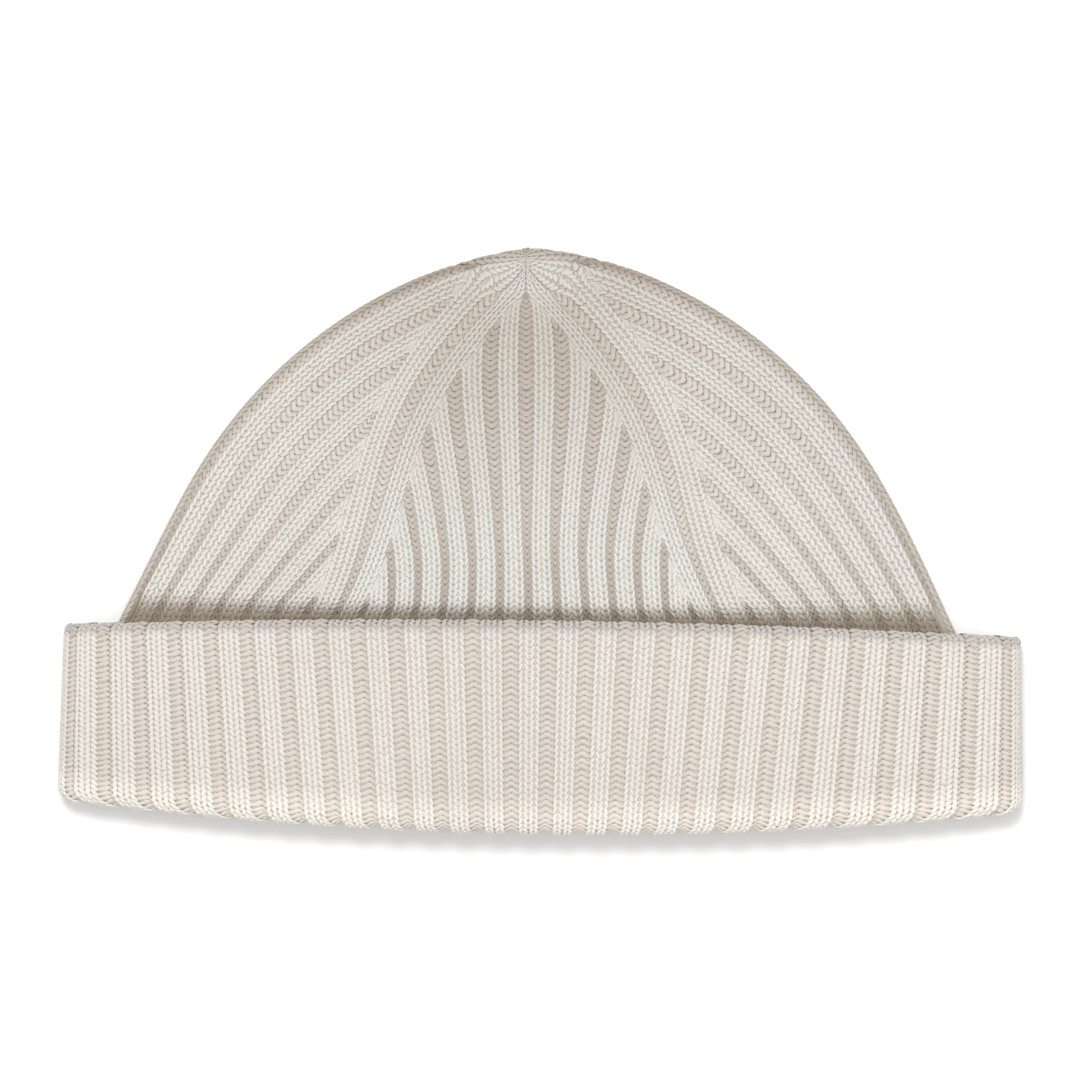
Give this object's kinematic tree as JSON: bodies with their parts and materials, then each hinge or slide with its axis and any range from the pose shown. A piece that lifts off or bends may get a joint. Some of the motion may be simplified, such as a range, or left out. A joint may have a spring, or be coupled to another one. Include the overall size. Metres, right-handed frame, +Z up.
{
  "type": "knit hat",
  "caption": "Rib-knit cap lying flat with its lower edge turned up into a cuff, hollow inside and open at the fold.",
  "frame": {"origin": "middle of the bottom of the hat as it lies flat, on the surface that it rests on", "axes": "+X across the hat, +Y from the turned-up cuff to the tip of the crown, +Z up from the surface"},
  "size_m": [0.232, 0.141, 0.0218],
  "materials": {
    "cuff_knit": "ivory wool, coarse rib knit",
    "crown_knit": "ivory wool, coarse rib knit"
  },
  "bodies": {
    "root": {"cuff": "cuff_knit", "crown": "crown_knit"}
  },
  "joints": []
}
